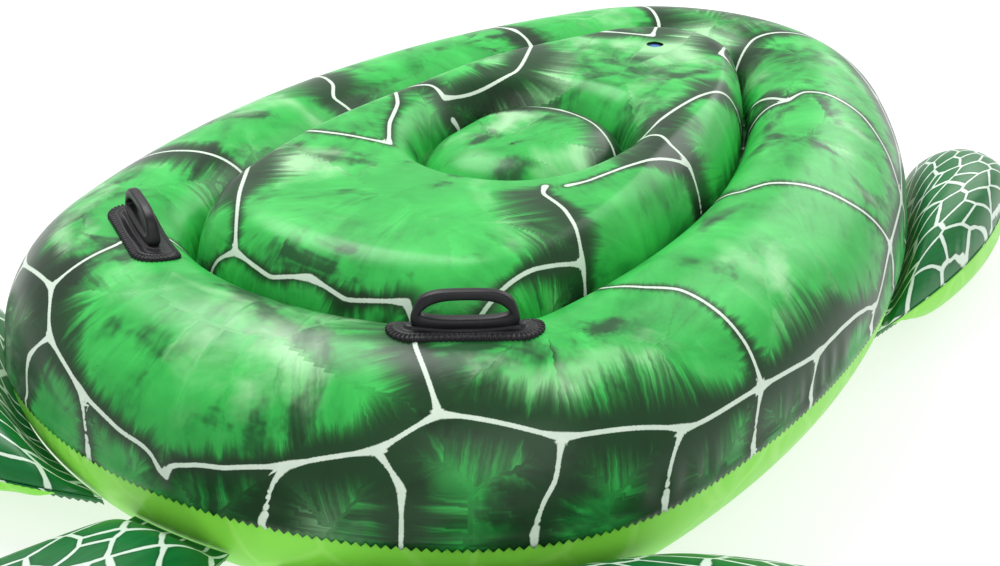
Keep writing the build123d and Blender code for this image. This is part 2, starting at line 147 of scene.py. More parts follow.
class Net:
    """The node network of one material."""

    def __init__(self, name: str) -> None:
        """Start an empty material with one Principled shader."""
        self.material = bpy.data.materials.new(name)
        self.material.use_nodes = True
        self.tree = self.material.node_tree
        self.shader = self.tree.nodes["Principled BSDF"]

    def node(self, kind: str, settings: dict, inputs: dict, out: object = 0) -> Term:
        """Add a node.

        Args:
            kind: The node's type.
            settings: Its own settings; "stops" gives a ramp's places and colours.
            inputs: Values or terms for its sockets.
            out: Which output to return.

        Returns:
            The chosen output.
        """
        made = self.tree.nodes.new(kind)
        for name, value in settings.items():
            if name == "stops":
                self._stops(made.color_ramp, value)
            else:
                setattr(made, name, value)
        for name, value in inputs.items():
            self._feed(made.inputs[name], value)
        return Term(self, made.outputs[out])

    @staticmethod
    def _stops(ramp: bpy.types.ColorRamp, stops: list) -> None:
        """Set a ramp's stops."""
        while len(ramp.elements) < len(stops):
            ramp.elements.new(0.5)
        for element, (place, colour) in zip(ramp.elements, stops):
            element.position, element.color = place, (*colour, 1.0)

    def _feed(self, socket: bpy.types.NodeSocket, value: object) -> None:
        """Link a term to a socket, or set the socket's own value."""
        if isinstance(value, Term):
            self.tree.links.new(value.socket, socket)
        elif isinstance(value, tuple) and socket.type == "RGBA":
            socket.default_value = (*value, 1.0)
        else:
            socket.default_value = value

    def attribute(self, name: str) -> Term:
        """The float attribute of that name."""
        return self.node("ShaderNodeAttribute", {"attribute_name": name}, {}, "Fac")

    def place(self) -> Term:
        """The point in the piece's own space."""
        return self.node("ShaderNodeTexCoord", {}, {}, "Object")

    def vector(self, x: object = 0.0, y: object = 0.0, z: object = 0.0) -> Term:
        """Combine three values into a vector."""
        return self.node("ShaderNodeCombineXYZ", {}, {"X": x, "Y": y, "Z": z})

    def noise(self, at: Term, scale: float, detail: float = 2, rough: float = 0.5, skew: float = 0) -> Term:
        """Noise between 0 and 1.

        Args:
            at: The vector that it is read at.
            scale: Its frequency.
            detail: How many finer layers it has.
            rough: The strength of the finer layers.
            skew: How far the noise distorts itself.

        Returns:
            The noise.
        """
        inputs = {"Vector": at, "Scale": scale, "Detail": detail, "Roughness": rough, "Distortion": skew}
        return self.node("ShaderNodeTexNoise", {}, inputs, "Fac")

    def mix(self, share: object, first: object, second: object, blend: str = "MIX") -> Term:
        """Mix two colours.

        Args:
            share: How much of the second shows.
            first: The colour beneath.
            second: The colour on top.
            blend: The way they mix.

        Returns:
            The mixed colour.
        """
        settings = {"data_type": "RGBA", "blend_type": blend}
        return self.node("ShaderNodeMix", settings, {0: share, 6: first, 7: second}, 2)

    def bump(self, height: Term, strength: float, distance: float) -> Term:
        """A Bump node on a height."""
        return self.node("ShaderNodeBump", {}, {"Height": height, "Strength": strength, "Distance": distance})

    def dress(self, **sockets: object) -> None:
        """Set the Principled shader's sockets; an underscore stands for a space."""
        for name, value in sockets.items():
            self._feed(self.shader.inputs[name.replace("_", " ")], value)


class Finish:
    """A material that is made once and shared."""

    name = "finish"

    def __init__(self) -> None:
        """Nothing is made until the material is asked for."""
        self._made: bpy.types.Material | None = None

    def material(self) -> bpy.types.Material:
        """The Blender material."""
        if self._made is None:
            net = Net(self.name)
            self.paint(net)
            self._made = net.material
        return self._made

    def paint(self, net: Net) -> None:
        """Build the network."""

    @staticmethod
    def film(net: Net, strength: float = 0.12) -> Term:
        """The faint orange peel and soft dents of a taut vinyl film."""
        at = net.place()
        height = net.noise(at, 14, 3, 0.55) + net.noise(at, 220, 2, 0.6) * 0.05
        return net.bump(height, strength, 0.004)


@dataclass(frozen=True)
class ScuteInks:
    """Colours of the printed scutes and of their painted highlight."""

    greens: tuple = (
        (0.30, (0.010, 0.17, 0.030)),
        (0.45, (0.030, 0.40, 0.065)),
        (0.60, (0.050, 0.54, 0.095)),
        (0.80, (0.12, 0.66, 0.16)),
    )
    murk: Colour = (0.007, 0.045, 0.014)
    low: Colour = (0.010, 0.20, 0.035)
    # pale green of the painted highlight on the scutes
    painted_highlight: Colour = (0.46, 0.80, 0.45)
    border: Colour = (0.008, 0.026, 0.010)
    chalk: Colour = (0.62, 0.74, 0.62)
    chalk_light: Colour = (0.80, 0.86, 0.80)


class ScutePrint(Finish):
    """The printed upper sheet: green scutes with brushed dark borders, pale lines and painted highlights."""

    name = "scute_print"
    inks = ScuteInks()

    def paint(self, net: Net) -> None:
        """Build the network."""
        at, along, gap = net.place(), net.attribute("line_along"), self.line_gap(net)
        height = net.node("ShaderNodeSeparateXYZ", {}, {0: at}, "Z")
        flank = 1 - height.step(0.17, 0.235)
        body = self.scutes(net, along, gap, flank)
        body = net.mix(self.border(net, along, gap, flank) * 0.94, body, self.inks.border)
        fade = net.noise(at, 90, 3).step(0.4, 0.75, 0.35)
        chalk = net.mix(fade, self.inks.chalk, self.inks.chalk_light)
        net.dress(
            Base_Color=net.mix(self.line(net, along, gap), body, chalk),
            Roughness=0.25 + net.noise(at, 30, 3) * 0.10,
            Specular_IOR_Level=0.26,
            Normal=self.film(net),
        )

    @staticmethod
    def line_gap(net: Net) -> Term:
        """The distance from the nearest pale line, crisp beside the line itself."""
        offset = net.node("ShaderNodeAttribute", {"attribute_name": "line_offset"}, {}, "Vector")
        near = net.node("ShaderNodeVectorMath", {"operation": "LENGTH"}, {0: offset}, "Value")
        return near.most(net.attribute("line_gap") - LINE_CORE)

    @staticmethod
    def line(net: Net, along: Term, gap: Term) -> Term:
        """Where a pale line shows; it frays a little and widens at its knots."""
        fray = net.noise(net.vector(along * 420, 0.0, 0.0), 1.0, 2, 0.6)
        knot = 1 - net.attribute("knot_gap").step(0.0, 0.022)
        width = 0.0014 + fray * 0.0018 + knot * 0.0020
        return 1 - (gap / width).step(0.75, 1.2)

    @staticmethod
    def border(net: Net, along: Term, gap: Term, flank: Term) -> Term:
        """How dark the brushed border beside a line is; it is deeper on the flank."""
        stroke = net.noise(net.vector(along * 150, gap * 6, along * 3), 1.0, 4, 0.62)
        patch = net.noise(net.place(), 4.6, 2, 0.5).step(0.44, 0.64)
        reach = (stroke - 0.18).most(0.0) * (0.030 + patch * 0.24 + flank * 0.03) + 0.002
        return 1 - (gap / reach).step(0.15, 1.15)

    def scutes(self, net: Net, along: Term, gap: Term, flank: Term) -> Term:
        """The brushed greens between the borders, with their murky patches and the pale patches of painted
        highlight.
        """
        at = net.place()
        sweep = net.noise(net.vector(along * 42, gap * 9, 4.0), 1.0, 4, 0.6, 0.4)
        blotch = net.noise(at, 8.5, 5, 0.6, 0.7)
        greens = {"stops": list(self.inks.greens)}
        body = net.node("ShaderNodeValToRGB", greens, {"Fac": sweep * 0.4 + blotch * 0.6})
        # painted highlight: pale patches in the middle of the scutes, weaker on the flank
        pale = net.noise(net.vector(along * 9, gap * 12, 7.0), 1.0, 4, 0.6, 0.5)
        highlight_patches = pale * 0.35 + net.noise(at, 5.2, 3, 0.55, 0.5) * 0.65
        painted_highlight = highlight_patches.step(0.50, 0.68, 0.78) * gap.step(0.012, 0.045) * (1 - flank * 0.6)
        dusk = net.noise(net.vector(along * 30, gap * 12, 2.0), 1.0, 3, 0.6)
        murk = dusk * 0.35 + net.noise(at, 6.1, 4, 0.62, 1.0) * 0.65
        body = net.mix(murk.step(0.51, 0.62, 0.9), body, self.inks.murk)
        body = net.mix(flank * 0.45, body, self.inks.low)
        return net.mix(painted_highlight, body, self.inks.painted_highlight)


@dataclass(frozen=True)
class LimeSheet:
    """Colours of the plain lower sheet."""

    base: Colour = (0.28, 0.80, 0.080)
    deep: Colour = (0.23, 0.70, 0.060)
    ghost: Colour = (0.40, 0.85, 0.17)


class LimeVinyl(Finish):
    """Plain lime vinyl with a faint ghost of the network print."""

    name = "lime_vinyl"
    tones = LimeSheet()

    def paint(self, net: Net) -> None:
        """Build the network."""
        at = net.place()
        cloud = net.noise(at, 5, 3, 0.5)
        rims = {"feature": "DISTANCE_TO_EDGE"}
        edge = net.node("ShaderNodeTexVoronoi", rims, {"Vector": at, "Scale": 11.0}, "Distance")
        ghost = (1 - edge.step(0.01, 0.06)) * 0.35
        body = net.mix(cloud, self.tones.base, self.tones.deep)
        net.dress(
            Base_Color=net.mix(ghost, body, self.tones.ghost),
            Roughness=0.30 + net.noise(at, 25, 3) * 0.12,
            Specular_IOR_Level=0.26,
            Normal=self.film(net, 0.10),
        )


class BandVinyl(LimeVinyl):
    """The milky vinyl of the hidden inner bands."""

    name = "band_vinyl"
    tones = LimeSheet((0.55, 0.62, 0.50), (0.48, 0.56, 0.44), (0.62, 0.68, 0.58))


class LimbPrint(Finish):
    """The printed limbs: deep green cells in a pale network."""

    name = "limb_print"

    def paint(self, net: Net) -> None:
        """Build the network."""
        at = net.place()
        out, across = net.attribute("limb_out"), net.attribute("limb_across")
        wander = net.noise(at, 9, 2, 0.5) * 0.35
        grid = net.vector(out * 17 + wander, across * 36 + wander, 0.0)
        cells = {"Vector": grid, "Scale": 1.0, "Randomness": 0.85}
        flat = {"voronoi_dimensions": "2D"}
        edge = net.node("ShaderNodeTexVoronoi", {"feature": "DISTANCE_TO_EDGE", **flat}, cells, "Distance")
        tint = net.node("ShaderNodeTexVoronoi", flat, cells, "Color")
        swell = net.noise(at, 45, 2, 0.6) * 0.085 + 0.018
        line = 1 - (edge / swell).step(0.7, 1.25)
        fibre = net.noise(net.vector(out * 14, across * 160, 0.0), 1.0, 3, 0.6)
        deep = net.mix(fibre, (0.002, 0.10, 0.022), (0.012, 0.235, 0.055))
        deep = net.mix(0.25, deep, net.mix(0.9, tint, (0.01, 0.16, 0.04)), "SOFT_LIGHT")
        shade = edge.step(0.04, 0.16)
        deep = net.mix((1 - shade) * 0.55, deep, (0.002, 0.05, 0.012))
        net.dress(
            Base_Color=net.mix(line, deep, (0.66, 0.80, 0.68)),
            Roughness=0.27 + net.noise(at, 30, 3) * 0.10,
            Specular_IOR_Level=0.26,
            Normal=self.film(net),
        )


class BlackVinyl(Finish):
    """Moulded black vinyl with a fine satin grain."""

    name = "black_vinyl"

    def paint(self, net: Net) -> None:
        """Build the network."""
        at = net.place()
        grain = net.noise(at, 900, 2, 0.6)
        scuff = net.noise(at, 60, 4, 0.65).step(0.5, 0.8, 0.5)
        net.dress(
            Base_Color=net.mix(scuff, (0.009, 0.009, 0.011), (0.026, 0.026, 0.030)),
            Roughness=0.34 + net.noise(at, 70, 3) * 0.16,
            Specular_IOR_Level=0.30,
            Normal=net.bump(grain, 0.15, 0.0006),
        )


@dataclass(frozen=True)
class Tint:
    """Colours and clearness of a small translucent moulding."""

    light: Colour
    dark: Colour
    alpha: float


class ValveVinyl(Finish):
    """Soft translucent vinyl of a valve."""

    def __init__(self, name: str, tint: Tint) -> None:
        """Keep the name and the tint."""
        super().__init__()
        self.name, self.tint = name, tint

    def paint(self, net: Net) -> None:
        """Build the network."""
        at = net.place()
        cloud = net.noise(at, 160, 3, 0.55)
        net.dress(
            Base_Color=net.mix(cloud, self.tint.light, self.tint.dark),
            Roughness=0.16 + net.noise(at, 300, 2) * 0.14,
            Alpha=self.tint.alpha,
            Coat_Weight=0.3,
            Normal=net.bump(cloud, 0.10, 0.0008),
        )


class StudioFloor(Finish):
    """A plain pale floor."""

    name = "studio_floor"

    def paint(self, net: Net) -> None:
        """Build the network."""
        net.dress(
            Base_Color=(0.35, 0.35, 0.35),
            Roughness=0.9,
            Specular_IOR_Level=0.1,
            Emission_Color=(1.0, 1.0, 1.0),
            Emission_Strength=0.7,
        )


PRINT = ScutePrint()
LIME = LimeVinyl()
BAND = BandVinyl()
LIMB = LimbPrint()
BLACK = BlackVinyl()
CLEAR = ValveVinyl("clear_vinyl", Tint((0.62, 0.80, 0.74), (0.42, 0.66, 0.62), 0.55))
BLUE = ValveVinyl("blue_vinyl", Tint((0.05, 0.22, 0.62), (0.03, 0.13, 0.46), 0.92))
FLOOR = StudioFloor()


class Slot(Enum):
    """The record's material slots."""

    PRINT = "print_top"
    LIME = "lime"
    BAND = "band"
    LIMB_PRINT = "limb_print"
    LIMB_LIME = "limb_lime"
    BLACK = "black_vinyl"
    CLEAR = "clear_vinyl"
    BLUE = "blue_vinyl"


# ---------------------------------------------------------------- mesh helpers


def new_piece(name: str, points: np.ndarray, faces: list, finish: Finish) -> bpy.types.Object:
    """Make a smooth-shaded mesh piece.

    Args:
        name: The piece's name.
        points: Its vertices.
        faces: Its faces, as vertex indices.
        finish: Its finish.

    Returns:
        The new object.
    """
    mesh = bpy.data.meshes.new(name)
    mesh.from_pydata([tuple(map(float, p)) for p in points], [], faces)
    mesh.validate()
    mesh.shade_smooth()
    mesh.materials.append(finish.material())
    made = bpy.data.objects.new(name, mesh)
    bpy.context.scene.collection.objects.link(made)
    return made


def ring_faces(rings: int, columns: int, closed: bool = True) -> list[tuple[int, ...]]:
    """Quads between rings of columns.

    Args:
        rings: The number of rings.
        columns: The points in each ring.
        closed: Whether each ring closes on itself.

    Returns:
        The faces.
    """
    faces = []
    for ring in range(rings - 1):
        for column in range(columns if closed else columns - 1):
            after = (column + 1) % columns
            low, high = ring * columns, (ring + 1) * columns
            faces.append((low + column, low + after, high + after, high + column))
    return faces


def set_attribute(piece: bpy.types.Object, name: str, values: np.ndarray) -> None:
    """Store a float at each vertex."""
    layer = piece.data.attributes.new(name, "FLOAT", "POINT")
    layer.data.foreach_set("value", np.asarray(values, np.float32))


def ripple(along: np.ndarray, pitch: float, seed: float) -> np.ndarray:
    """An uneven wave along a weld, like the puckers of an inflated seam.

    Args:
        along: Distance along the weld.
        pitch: The usual distance between puckers.
        seed: Where the unevenness starts.

    Returns:
        Heights between about -1 and 1.
    """
    turn = 2 * math.pi / pitch
    drift = 1.9 * np.sin(along * turn * 0.173 + seed) + 1.3 * np.sin(along * turn * 0.071 + 2 * seed)
    swell = 0.55 + 0.45 * np.sin(along * turn * 0.119 + 3 * seed)
    return swell * np.sin(along * turn + drift)


def thicken(piece: bpy.types.Object, thickness: float) -> None:
    """Give a sheet its thickness, inwards, and apply it."""
    solid = piece.modifiers.new("sheet", "SOLIDIFY")
    solid.thickness, solid.offset = thickness, -1.0
    apply_modifiers(piece)


def apply_modifiers(piece: bpy.types.Object) -> None:
    """Replace the mesh by its evaluated form."""
    bpy.context.view_layer.update()
    shown = piece.evaluated_get(bpy.context.evaluated_depsgraph_get())
    mesh = bpy.data.meshes.new_from_object(shown)
    piece.modifiers.clear()
    piece.data = mesh


# ---------------------------------------------------------------- the shell


@dataclass
class Outline:
    """The shell's outline at the seam: four tangent arcs a side."""

    length: float = 1.344
    width: float = 0.897
    front_radius: float = 0.555
    front_half_angle: float = 28.0
    shoulder_radius: float = 0.308
    side_radius: float = 1.235
    arcs: list = field(default_factory=list)

    def __post_init__(self) -> None:
        """Work out the arcs of the left half: (centre, radius, start, turn), in radians."""
        front, rear = -self.length / 2 + CENTRE_SHIFT, self.length / 2 + CENTRE_SHIFT
        lead = math.radians(self.front_half_angle)
        less = self.front_radius - self.shoulder_radius
        across, down = less * math.sin(lead), front + self.front_radius - less * math.cos(lead)
        side_x = self.width / 2 - self.side_radius
        wide = self.side_radius - self.shoulder_radius
        to_side = math.asin((across - side_x) / wide)
        side_y = down + wide * math.cos(to_side)
        depth = rear - side_y
        rear_radius = (side_x**2 + depth**2 - self.side_radius**2) / (2 * (depth - self.side_radius))
        to_rear = math.atan2(-side_x, side_y - (rear - rear_radius))
        turns = [lead, to_side - lead, to_rear - to_side, math.pi - to_rear]
        start, heading = np.array([0.0, front]), 0.0
        radii = (self.front_radius, self.shoulder_radius, self.side_radius, rear_radius)
        for turn, radius in zip(turns, radii):
            centre = start + radius * np.array([-math.sin(heading), math.cos(heading)])
            self.arcs.append((centre, radius, heading, turn))
            heading += turn
            start = centre + radius * np.array([math.sin(heading), -math.cos(heading)])

    @property
    def half(self) -> float:
        """The length of half the outline."""
        return sum(radius * turn for _, radius, _, turn in self.arcs)

    def at(self, share: float) -> tuple[np.ndarray, np.ndarray]:
        """A point and its inward direction.

        Args:
            share: 0 at the front, 1 at the rear; below 0 or above 1 is the turtle's right side.

        Returns:
            The point and the unit inward direction, in plan.
        """
        right = share < 0 or share > 1
        share = -share if share < 0 else (2 - share if share > 1 else share)
        left = share * self.half
        for centre, radius, heading, turn in self.arcs:
            if left <= radius * turn + 1e-9:
                break
            left -= radius * turn
        angle = heading + min(left / radius, turn)
        outward = np.array([math.sin(angle), -math.cos(angle)])
        point = centre + radius * outward
        flip = np.array([-1.0 if right else 1.0, 1.0])
        return point * flip, -outward * flip

    def columns(self, count: int) -> tuple[np.ndarray, np.ndarray, np.ndarray]:
        """Evenly spaced points right round.

        Args:
            count: How many points.

        Returns:
            The points, their inward directions and their distances along the outline.
        """
        shares = [2 * place / count for place in range(count)]
        found = [self.at(share) for share in shares]
        along = np.array(shares) * self.half
        return np.array([p for p, _ in found]), np.array([n for _, n in found]), along


@dataclass
class Island:
    """The oval island in the deck."""

    centre: float = 0.237
    straight: float = 0.056
    radius: float = 0.11

    def columns(self, count: int) -> tuple[np.ndarray, np.ndarray]:
        """Points round the island's weld from the front, and their feet on its centre line.

        Args:
            count: How many points.

        Returns:
            The points and their feet.
        """
        quarter = math.pi * self.radius / 2
        total = 4 * quarter + 2 * self.straight
        points, feet = [], []
        for place in range(count):
            along = total * place / count
            mirror = 1.0
            if along > total / 2:
                along, mirror = total - along, -1.0
            if along < quarter:
                angle, foot = along / self.radius, -self.straight / 2
            elif along < quarter + self.straight:
                angle, foot = math.pi / 2, -self.straight / 2 + along - quarter
            else:
                angle, foot = (along - self.straight) / self.radius, self.straight / 2
            across, back = self.radius * math.sin(angle), self.radius * math.cos(angle)
            points.append((mirror * across, self.centre + foot - back))
            feet.append((0.0, self.centre + foot))
        return np.array(points), np.array(feet)


@dataclass
class Section:
    """The heights of one sheet above or below the seam."""

    crest: float
    groove: float
    deck: float
    island_groove: float
    up: bool
    sheet: float = 0.002
    groove_inset: float = 0.208
    deck_round: float = 0.062
    island_round: float = 0.046
    pucker: float = 0.0018
    pucker_reach: float = 0.024
    seam_dent: float = 0.0011
    seam_dent_at: float = 0.012
    seam_dent_reach: float = 0.018
    dome: float = 0.0
    valve_flat: float = 0.0
    valve_at: float = 0.578
    valve_reach: float = 0.12
    seeds: tuple[float, float] = (2.2, 1.7)


UPPER = Section(0.134, 0.066, 0.147, 0.088, True, dome=0.011, valve_flat=0.005, seeds=(1.0, 0.4))
LOWER = Section(0.126, 0.069, 0.126, 0.080, False)


def rounded(share: np.ndarray) -> np.ndarray:
    """The rise of a chamber's shoulder.

    Args:
        share: The distance from the weld, in shoulder radii.

    Returns:
        0 at the weld, 1 past the shoulder.
    """
    return np.sqrt(1 - (1 - np.clip(share, 0, 1)) ** 2)


def crown(across: np.ndarray, edge: float, top: float, power: float = 2.4) -> np.ndarray:
    """The rounded height of an inflated chamber.

    Args:
        across: -1 and 1 at the chamber's two welds.
        edge: The height at the welds.
        top: The height at the middle.
        power: How flat the middle is.

    Returns:
        The heights.
    """
    return edge + (top - edge) * np.clip(1 - np.abs(across) ** power, 0, 1) ** 0.5


class SheetRings:
    """The points of one sheet, ring by ring from the seam to the island's centre line."""

    def __init__(self, section: Section, columns: int, spacing: float) -> None:
        """Work out every ring.

        Args:
            section: The sheet's heights.
            columns: The points in each ring.
            spacing: The usual distance between rings.
        """
        self.section, self.spacing = section, spacing
        self.base, self.inward, self.along = Outline().columns(columns)
        self.weld, self.feet = Island().columns(columns)
        self.radius = section.crest - section.sheet
        self.isle_wave = ripple(self.along, 0.060, 3.3)
        self.rows: list[np.ndarray] = []
        self.tube()
        self.shoulder()
        self.deck()
        self.dome()

    def add(self, plan: np.ndarray, height: np.ndarray) -> None:
        """Add one ring, at heights above or below the seam."""
        sign = 1.0 if self.section.up else -1.0
        self.rows.append(np.column_stack([plan, SEAM_HEIGHT + sign * height]))

    def near(self, over: np.ndarray) -> np.ndarray:
        """How strongly the puckers show at a height over a weld."""
        return np.exp(-((over / self.section.pucker_reach) ** 2))

    def tube(self) -> None:
        """The tube's outer wall: a quarter turn from the seam to the crest, with the seam's puckers."""
        part = self.section
        wave = ripple(self.along, 0.034, part.seeds[0])
        for angle in np.linspace(0, math.pi / 2, int(self.radius * math.pi / 2 / self.spacing)):
            inset = self.radius * (1 - math.cos(angle))
            height = part.sheet * min(angle * 8, 1) + self.radius * math.sin(angle)
            off = (angle * self.radius - part.seam_dent_at) / part.seam_dent_reach
            dent = -part.seam_dent * math.exp(-(off**2)) * (1 + wave) * min(angle * 20, 1)
            self.add(self.base + self.inward * (inset - dent)[:, None], np.full(len(wave), height))

    def shoulder(self) -> None:
        """The tube's inner wall, from the crest down into the groove."""
        part = self.section
        wave = ripple(self.along, 0.041, part.seeds[1])
        for angle in np.linspace(0, math.pi / 2, int(0.14 / self.spacing))[1:]:
            inset = self.radius + (part.groove_inset - self.radius) * math.sin(angle)
            height = part.groove + (part.crest - part.groove) * math.cos(angle) ** 0.92
            pucker = part.pucker * self.near(height - part.groove) * wave
            self.add(self.base + self.inward * (inset - 1.6 * pucker)[:, None], height + pucker)

    def deck(self) -> None:
        """The deck, from the groove across to the island's weld."""
        part = self.section
        outer = self.base + self.inward * (part.groove_inset + 0.004)
        width = np.linalg.norm(outer - self.weld, axis=1)
        deck_wave = ripple(self.along, 0.047, 5.1)
        count = int(0.30 / self.spacing)
        for place in range(count + 1):
            share = 0.5 - 0.5 * math.cos(math.pi * place / count)
            share = 0.25 * place / count + 0.75 * share
            plan = outer * (1 - share) + self.weld * share
            edge = part.groove + (part.island_groove - part.groove) * share
            rise = rounded(share * width / part.deck_round) * rounded((1 - share) * width / part.island_round)
            valve = np.exp(-(((plan[:, 1] - part.valve_at) / part.valve_reach) ** 2))
            dome = (part.dome - part.valve_flat * valve) * math.sin(math.pi * share)
            height = edge + (part.deck + dome - edge) * rise
            pucker = part.pucker * self.near(height - edge) * (deck_wave if share < 0.5 else self.isle_wave)
            shift = pucker * (1.3 if share < 0.5 else -0.8)
            self.add(plan + self.inward * shift[:, None], height + 0.6 * pucker)

    def dome(self) -> None:
        """The island, from its weld in to its centre line."""
        part = self.section
        count = int(0.11 / self.spacing)
        for place in range(count + 1):
            share = (0.5 - 0.5 * math.cos(math.pi * place / count)) * 0.4 + 0.6 * place / count
            plan = self.weld * (1 - share) + self.feet * share
            plan = plan + (self.feet - self.weld) * (0.03 * (1 - share))
            height = float(crown(np.array(1 - share), part.island_groove, part.deck - 0.001, 3.0))
            near = math.exp(-(((height - part.island_groove) / 0.02) ** 2))
            self.add(plan, height + part.pucker * 0.8 * near * self.isle_wave)


@dataclass
class PrintMap:
    """The pale lines between the printed scutes, in plan; the ticks run on down to the seam."""

    both: tuple = (
        ((0.0, -0.416), (0.065, -0.408), (0.125, -0.392), (0.198, -0.356), (0.236, -0.312)),
        ((0.108, -0.173), (0.075, -0.184), (0.045, -0.191), (0.0, -0.188)),
        (
            (0.236, -0.312), (0.332, -0.258), (0.401, -0.153), (0.427, -0.031), (0.441, 0.082),
            (0.440, 0.255), (0.419, 0.353), (0.387, 0.480), (0.335, 0.610), (0.262, 0.715),
            (0.195, 0.775), (0.130, 0.820), (0.0, 0.860),
        ),
        (
            (0.419, 0.353), (0.379, 0.312), (0.333, 0.284), (0.302, 0.262),
            (0.280, 0.235), (0.250, 0.240), (0.205, 0.258),
        ),
        ((0.205, 0.258), (0.182, 0.258), (0.160, 0.272), (0.135, 0.268)),
        ((0.118, 0.262), (0.090, 0.290), (0.050, 0.312), (0.0, 0.320)),
    )
    left: tuple = (
        (
            (0.427, -0.031), (0.405, -0.024), (0.375, -0.022), (0.332, -0.026),
            (0.300, -0.045), (0.262, -0.050), (0.216, -0.012),
        ),
        ((0.236, -0.312), (0.178, -0.262), (0.150, -0.215), (0.130, -0.186), (0.108, -0.173)),
        ((0.155, -0.195), (0.179, -0.134), (0.216, -0.012)),
        ((0.216, -0.012), (0.170, 0.030), (0.130, 0.056), (0.118, 0.080)),
        ((0.140, 0.090), (0.153, 0.112), (0.170, 0.167), (0.205, 0.258)),
        ((0.135, 0.268), (0.136, 0.348), (0.141, 0.420), (0.155, 0.475), (0.185, 0.520), (0.212, 0.530)),
        ((0.387, 0.480), (0.350, 0.525), (0.300, 0.563), (0.250, 0.572), (0.222, 0.560), (0.212, 0.530)),
        ((0.212, 0.530), (0.160, 0.565), (0.089, 0.595)),
        ((0.089, 0.595), (0.068, 0.667), (0.074, 0.740), (0.130, 0.795), (0.150, 0.808)),
    )
    right: tuple = (
        ((-0.427, -0.031), (-0.375, -0.030), (-0.320, -0.014), (-0.275, 0.005), (-0.232, 0.020)),
        ((-0.236, -0.312), (-0.205, -0.250), (-0.203, -0.195), (-0.165, -0.172), (-0.108, -0.173)),
        ((-0.108, -0.173), (-0.153, -0.108), (-0.182, -0.060), (-0.232, 0.020)),
        ((-0.232, 0.020), (-0.236, 0.065), (-0.167, 0.076), (-0.100, 0.098)),
        ((-0.100, 0.098), (-0.133, 0.147), (-0.158, 0.200), (-0.205, 0.258)),
        ((-0.135, 0.268), (-0.100, 0.380), (-0.130, 0.470), (-0.175, 0.555), (-0.222, 0.580)),
        ((-0.222, 0.580), (-0.262, 0.585), (-0.312, 0.560), (-0.387, 0.480)),
        ((-0.175, 0.555), (-0.130, 0.585), (-0.089, 0.595)),
        ((-0.089, 0.595), (-0.020, 0.610)),
        ((-0.020, 0.610), (-0.045, 0.680), (-0.071, 0.735), (-0.108, 0.775), (-0.150, 0.808)),
    )
    ticks: tuple = (
        ((0.198, -0.356), (0.228, -0.360)),
        ((0.125, -0.392), (0.105, -0.410)),
        ((0.332, -0.258), (0.338, -0.280), (0.330, -0.302)),
        ((0.401, -0.153), (0.404, -0.190)),
        ((0.427, -0.031), (0.435, -0.062)),
        ((0.441, 0.082), (0.446, 0.058)),
        ((0.440, 0.255), (0.444, 0.236)),
        ((0.419, 0.353), (0.426, 0.350)),
        ((0.387, 0.480), (0.397, 0.474)),
        ((0.335, 0.610), (0.345, 0.615)),
        ((0.262, 0.715), (0.272, 0.728)),
        ((0.130, 0.820), (0.136, 0.834)),
    )
    step: float = 0.0015

    def lines(self) -> list[tuple[bool, np.ndarray]]:
        """Every line in plan, with whether it runs on to the seam."""
        flip = np.array([-1.0, 1.0])
        found = []
        groups = (
            (self.both, False, 2), (self.ticks, True, 2),
            (self.left, False, 1), (self.right, False, 1),
        )
        for group, tick, sides in groups:
            for line in group:
                points = self.smooth(np.array(line))
                found += [(tick, points), (tick, points * flip)][:sides]
        return found

    def smooth(self, points: np.ndarray) -> np.ndarray:
        """A rounded line through the points, sampled closely.

        Args:
            points: The line's points.

        Returns:
            The samples.
        """
        ends = np.vstack([2 * points[0] - points[1], points, 2 * points[-1] - points[-2]])
        made = []
        for a, b, c, d in zip(ends, ends[1:], ends[2:], ends[3:]):
            count = max(2, int(np.linalg.norm(c - b) / self.step))
            t = np.linspace(0, 1, count, endpoint=False)[:, None]
            pull = 0.32
            made.append(
                (2 * t**3 - 3 * t**2 + 1) * b + (t**3 - 2 * t**2 + t) * pull * (c - a)
                + (3 * t**2 - 2 * t**3) * c + (t**3 - t**2) * pull * (d - b)
            )
        return np.vstack([*made, points[-1:]])


